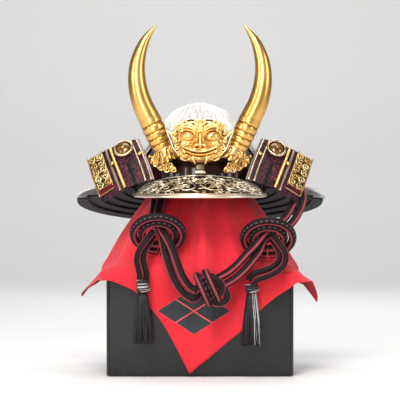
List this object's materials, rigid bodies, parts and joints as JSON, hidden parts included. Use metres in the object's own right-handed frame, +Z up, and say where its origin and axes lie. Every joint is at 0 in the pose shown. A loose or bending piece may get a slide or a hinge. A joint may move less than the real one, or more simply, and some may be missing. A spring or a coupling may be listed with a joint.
{
  "type": "kabuto helmet on draped chest stand",
  "caption": "Samurai helmet with gold horns, lion-demon front mask, white hair cover, carved visor, laced neck guard and knotted cords, on a cloth-draped lacquered chest.",
  "frame": {"origin": "centre of the chest's flat underside, where the stand rests", "axes": "+Z up, the visor and the demon mask look along -Y, +X to the right of someone who faces the mask"},
  "size_m": [0.3582, 0.3518, 0.4875],
  "materials": {
    "black_lacquered_wood": "glossy black lacquer",
    "red_crepe_cloth": "matt crêpe, with a dark lattice crest",
    "brown_lacquer": "glossy dark red-brown lacquer",
    "black_lacquer": "glossy black lacquer",
    "carved_pale_gold": "carved, satin, pale gold plating",
    "gold": "satin gold plating",
    "white_hair": "combed white yak hair",
    "printed_leather": "dark purple, printed with a light net pattern",
    "amber_enamel": "glossy dark amber",
    "black_lacing": "close rows of black silk lacing on lacquered lames",
    "braided_cord": "black and maroon braid with pink-red and grey stitches",
    "tassel_thread": "fine black threads with a few silver ones"
  },
  "bodies": {
    "root": {"bowl_band": "black_lacquer", "cord_main_left_a": "braided_cord", "cord_main_left_b": "braided_cord", "cord_main_right_a": "braided_cord", "cord_main_right_b": "braided_cord", "cord_ring_left_a": "braided_cord", "cord_ring_left_b": "braided_cord", "cord_ring_right_a": "braided_cord", "cord_ring_right_b": "braided_cord", "cord_tail_left_a": "braided_cord", "cord_tail_left_b": "braided_cord", "cord_tail_right_a": "braided_cord", "cord_tail_right_b": "braided_cord", "crest_holder": "gold", "demon_mask": "gold", "hair_cover": "white_hair", "helmet_bowl": "brown_lacquer", "horn_collar_left": "gold", "horn_collar_right": "gold", "horn_left": "gold", "horn_right": "gold", "knot_centre": "braided_cord", "mask_backplate": "carved_pale_gold", "neck_lame_1": "black_lacing", "neck_lame_2": "black_lacing", "neck_lame_3": "black_lacing", "neck_lame_4": "black_lacing", "neck_lame_5": "black_lacing", "scroll_left": "gold", "scroll_right": "gold", "stand_chest": "black_lacquered_wood", "stand_cloth": "red_crepe_cloth", "stand_post": "black_lacquered_wood", "tassel_head_left": "tassel_thread", "tassel_head_right": "tassel_thread", "tassel_left": "tassel_thread", "tassel_right": "tassel_thread", "turnback_boss_dome_left": "amber_enamel", "turnback_boss_dome_right": "amber_enamel", "turnback_boss_ring_left": "carved_pale_gold", "turnback_boss_ring_right": "carved_pale_gold", "turnback_edge_strip_left": "carved_pale_gold", "turnback_edge_strip_right": "carved_pale_gold", "turnback_filigree_left": "gold", "turnback_filigree_right": "gold", "turnback_inner_knob_left": "gold", "turnback_inner_knob_right": "gold", "turnback_inner_strip_left": "gold", "turnback_inner_strip_right": "gold", "turnback_outer_knob_left": "gold", "turnback_outer_knob_right": "gold", "turnback_outer_strip_left": "gold", "turnback_outer_strip_right": "gold", "turnback_panel_left": "printed_leather", "turnback_panel_right": "printed_leather", "turnback_rope_strip_left": "gold", "turnback_rope_strip_right": "gold", "visor_plate": "carved_pale_gold", "visor_rim": "gold"}
  },
  "joints": []
}
